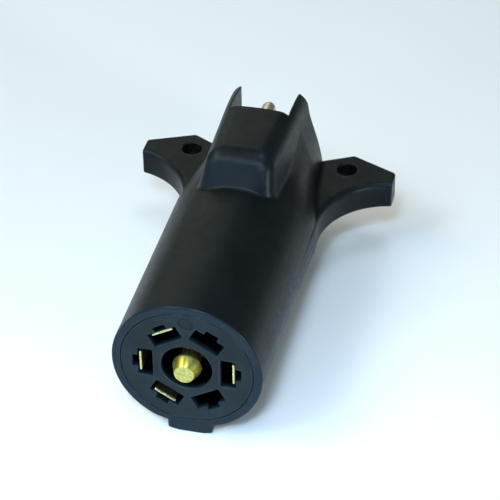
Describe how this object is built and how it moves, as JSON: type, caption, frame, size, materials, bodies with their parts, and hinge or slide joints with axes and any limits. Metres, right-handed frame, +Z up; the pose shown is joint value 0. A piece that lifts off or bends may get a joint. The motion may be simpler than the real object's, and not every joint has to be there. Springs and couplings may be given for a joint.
{
  "type": "trailer wiring connector",
  "caption": "Trailer wiring adapter: round blade plug in front, recessed flat socket under a hood behind, finger wings on both sides.",
  "frame": {"origin": "bottom centre of the adapter's box, under its key tab's lowest line", "axes": "+Z up, +Y along the plug axis from the plug face to the flat port, +X to the right wing seen from the plug end"},
  "size_m": [0.0828, 0.1128, 0.0564],
  "materials": {
    "housing_plastic": "satin moulded black nylon",
    "insert_plastic": "satin moulded slate-black nylon",
    "port_rubber": "matt moulded black rubber",
    "brass": "bright stamped and turned brass",
    "plated_brass": "pale plated brass",
    "spring_steel": "plain spring steel",
    "copper": "bare stranded copper",
    "insulation_white": "white wire insulation",
    "insulation_brown": "brown wire insulation",
    "insulation_yellow": "yellow wire insulation",
    "insulation_green": "green wire insulation"
  },
  "bodies": {
    "root": {"housing": "housing_plastic", "plug_insert": "insert_plastic", "centre_pin": "brass", "pin_push_nut": "spring_steel", "port_block": "port_rubber", "contact_right_turn": "brass", "contact_tail": "brass", "contact_left_turn": "brass", "contact_ground": "brass", "ground_pin": "plated_brass", "socket_tail": "plated_brass", "socket_left_turn": "plated_brass", "socket_right_turn": "plated_brass", "wire_ground": "insulation_white", "wire_tail": "insulation_brown", "wire_left_turn": "insulation_yellow", "wire_right_turn": "insulation_green", "core_ground": "copper", "core_tail": "copper", "core_left_turn": "copper", "core_right_turn": "copper"}
  },
  "joints": []
}
